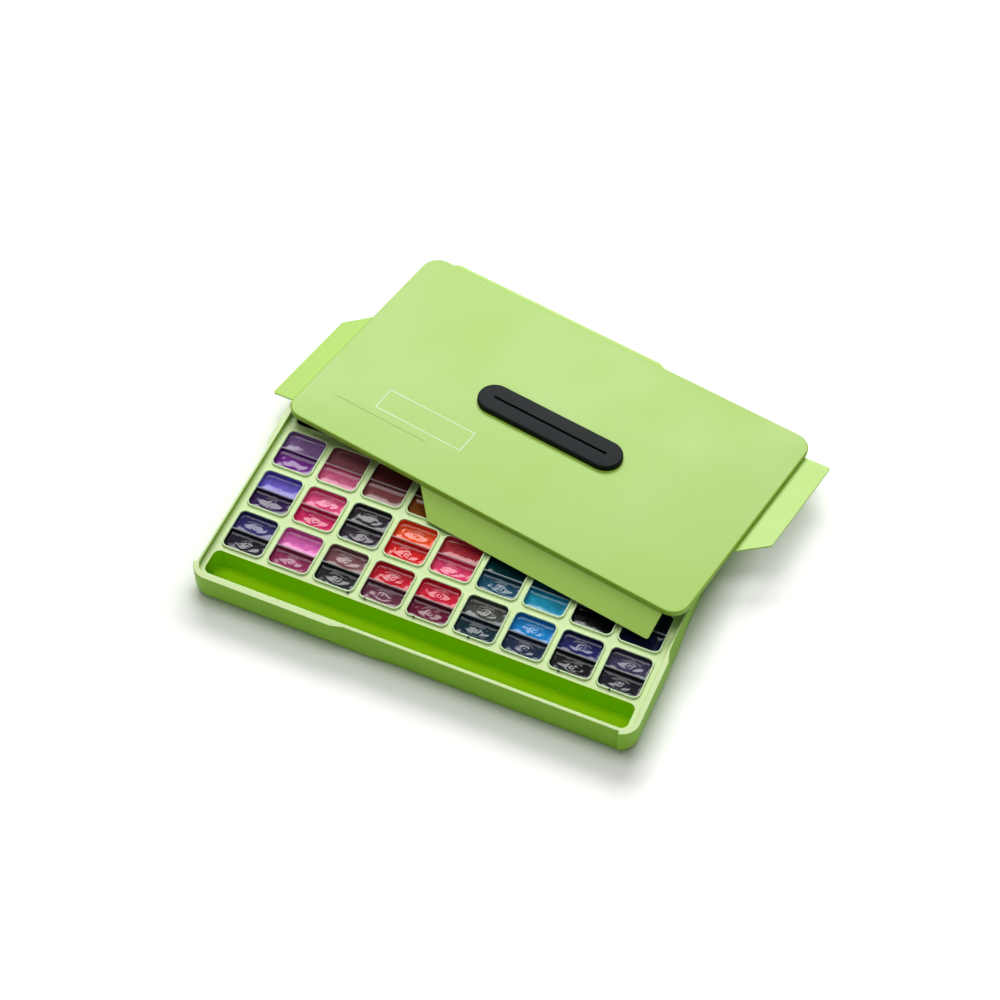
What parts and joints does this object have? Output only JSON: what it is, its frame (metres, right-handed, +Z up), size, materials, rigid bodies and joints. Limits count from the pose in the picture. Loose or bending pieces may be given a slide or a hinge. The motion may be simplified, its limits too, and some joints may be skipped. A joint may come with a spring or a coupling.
{
  "type": "gouache paint set box",
  "caption": "Flat moulded paint box with twin cups of gouache, a brush trough and a loose lid with four hinged flaps, lying tipped over its back rim.",
  "frame": {"origin": "middle of the tray's underside", "axes": "+X along the tray's long side, -Y its front, +Z up"},
  "size_m": [0.4158, 0.3673, 0.0411],
  "materials": {
    "green_shell": "satin",
    "cup_plastic": "gloss",
    "insert_plastic": "gloss",
    "paint_1_1": "wet paint",
    "paint_1_2": "wet paint",
    "paint_1_3": "wet paint",
    "paint_1_4": "wet paint",
    "paint_1_5": "wet paint",
    "paint_1_6": "wet paint",
    "paint_1_7": "wet paint",
    "paint_1_8": "wet paint",
    "paint_1_9": "wet paint",
    "paint_2_1": "wet paint",
    "paint_2_2": "wet paint",
    "paint_2_3": "wet paint",
    "paint_2_4": "wet paint",
    "paint_row_2": "wet paint",
    "paint_row_3": "wet paint",
    "paint_row_4": "wet paint"
  },
  "bodies": {
    "tray_body": {"tray": "green_shell", "cup_2_5": "cup_plastic", "cup_2_6": "cup_plastic", "cup_2_7": "cup_plastic", "cup_2_8": "cup_plastic", "cup_2_9": "cup_plastic", "cup_3_1": "cup_plastic", "cup_3_2": "cup_plastic", "cup_3_3": "cup_plastic", "cup_3_4": "cup_plastic", "cup_3_5": "cup_plastic", "cup_3_6": "cup_plastic", "cup_3_7": "cup_plastic", "cup_3_8": "cup_plastic", "cup_3_9": "cup_plastic", "cup_4_1": "cup_plastic", "cup_4_2": "cup_plastic", "cup_4_3": "cup_plastic", "cup_4_4": "cup_plastic", "cup_4_5": "cup_plastic", "cup_4_6": "cup_plastic", "cup_4_7": "cup_plastic", "cup_4_8": "cup_plastic", "cup_4_9": "cup_plastic", "paint_row_2": "paint_row_2", "paint_row_3": "paint_row_3", "paint_row_4": "paint_row_4"},
    "lid_body": {"lid": "green_shell", "lid_insert": "insert_plastic"},
    "flap_front": {"flap_front": "green_shell"},
    "flap_right": {"flap_right": "green_shell"},
    "flap_back": {"flap_back": "green_shell"},
    "flap_left": {"flap_left": "green_shell"},
    "loose_cup_1_1": {"cup_1_1": "cup_plastic", "paint_1_1": "paint_1_1"},
    "loose_cup_1_2": {"cup_1_2": "cup_plastic", "paint_1_2": "paint_1_2"},
    "loose_cup_1_3": {"cup_1_3": "cup_plastic", "paint_1_3": "paint_1_3"},
    "loose_cup_1_4": {"cup_1_4": "cup_plastic", "paint_1_4": "paint_1_4"},
    "loose_cup_1_5": {"cup_1_5": "cup_plastic", "paint_1_5": "paint_1_5"},
    "loose_cup_1_6": {"cup_1_6": "cup_plastic", "paint_1_6": "paint_1_6"},
    "loose_cup_1_7": {"cup_1_7": "cup_plastic", "paint_1_7": "paint_1_7"},
    "loose_cup_1_8": {"cup_1_8": "cup_plastic", "paint_1_8": "paint_1_8"},
    "loose_cup_1_9": {"cup_1_9": "cup_plastic", "paint_1_9": "paint_1_9"},
    "loose_cup_2_1": {"cup_2_1": "cup_plastic", "paint_2_1": "paint_2_1"},
    "loose_cup_2_2": {"cup_2_2": "cup_plastic", "paint_2_2": "paint_2_2"},
    "loose_cup_2_3": {"cup_2_3": "cup_plastic", "paint_2_3": "paint_2_3"},
    "loose_cup_2_4": {"cup_2_4": "cup_plastic", "paint_2_4": "paint_2_4"}
  },
  "joints": [
    {"name": "lid_lift", "type": "slide", "parent": "tray_body", "child": "lid_body", "axis": [0, 0, 1], "range_m": [0, 0.25]},
    {"name": "flap_front_hinge", "type": "hinge", "parent": "lid_body", "child": "flap_front", "pos_m": [0.05439, 0.01547, 0.03523], "axis": [-0.9854, 0.1697, -0.0134], "range_deg": [0, 115]},
    {"name": "flap_right_hinge", "type": "hinge", "parent": "lid_body", "child": "flap_right", "pos_m": [0.19413, 0.12617, 0.02652], "axis": [-0.1702, -0.9824, 0.0773], "range_deg": [-60, 77]},
    {"name": "flap_back_hinge", "type": "hinge", "parent": "lid_body", "child": "flap_back", "pos_m": [-0.02199, 0.23298, 0.01811], "axis": [0.9854, -0.1697, 0.0134], "range_deg": [0, 120]},
    {"name": "flap_left_hinge", "type": "hinge", "parent": "lid_body", "child": "flap_left", "pos_m": [-0.16173, 0.12229, 0.02682], "axis": [0.1702, 0.9824, -0.0773], "range_deg": [0, 95]},
    {"name": "cup_1_1_lift", "type": "slide", "parent": "tray_body", "child": "loose_cup_1_1", "axis": [0, 0, 1], "range_m": [0, 0.04]},
    {"name": "cup_1_2_lift", "type": "slide", "parent": "tray_body", "child": "loose_cup_1_2", "axis": [0, 0, 1], "range_m": [0, 0.04]},
    {"name": "cup_1_3_lift", "type": "slide", "parent": "tray_body", "child": "loose_cup_1_3", "axis": [0, 0, 1], "range_m": [0, 0.04]},
    {"name": "cup_1_4_lift", "type": "slide", "parent": "tray_body", "child": "loose_cup_1_4", "axis": [0, 0, 1], "range_m": [0, 0.04]},
    {"name": "cup_1_5_lift", "type": "slide", "parent": "tray_body", "child": "loose_cup_1_5", "axis": [0, 0, 1], "range_m": [0, 0.04]},
    {"name": "cup_1_6_lift", "type": "slide", "parent": "tray_body", "child": "loose_cup_1_6", "axis": [0, 0, 1], "range_m": [0, 0.04]},
    {"name": "cup_1_7_lift", "type": "slide", "parent": "tray_body", "child": "loose_cup_1_7", "axis": [0, 0, 1], "range_m": [0, 0.04]},
    {"name": "cup_1_8_lift", "type": "slide", "parent": "tray_body", "child": "loose_cup_1_8", "axis": [0, 0, 1], "range_m": [0, 0.04]},
    {"name": "cup_1_9_lift", "type": "slide", "parent": "tray_body", "child": "loose_cup_1_9", "axis": [0, 0, 1], "range_m": [0, 0.04]},
    {"name": "cup_2_1_lift", "type": "slide", "parent": "tray_body", "child": "loose_cup_2_1", "axis": [0, 0, 1], "range_m": [0, 0.04]},
    {"name": "cup_2_2_lift", "type": "slide", "parent": "tray_body", "child": "loose_cup_2_2", "axis": [0, 0, 1], "range_m": [0, 0.04]},
    {"name": "cup_2_3_lift", "type": "slide", "parent": "tray_body", "child": "loose_cup_2_3", "axis": [0, 0, 1], "range_m": [0, 0.04]},
    {"name": "cup_2_4_lift", "type": "slide", "parent": "tray_body", "child": "loose_cup_2_4", "axis": [0, 0, 1], "range_m": [0, 0.04]}
  ]
}
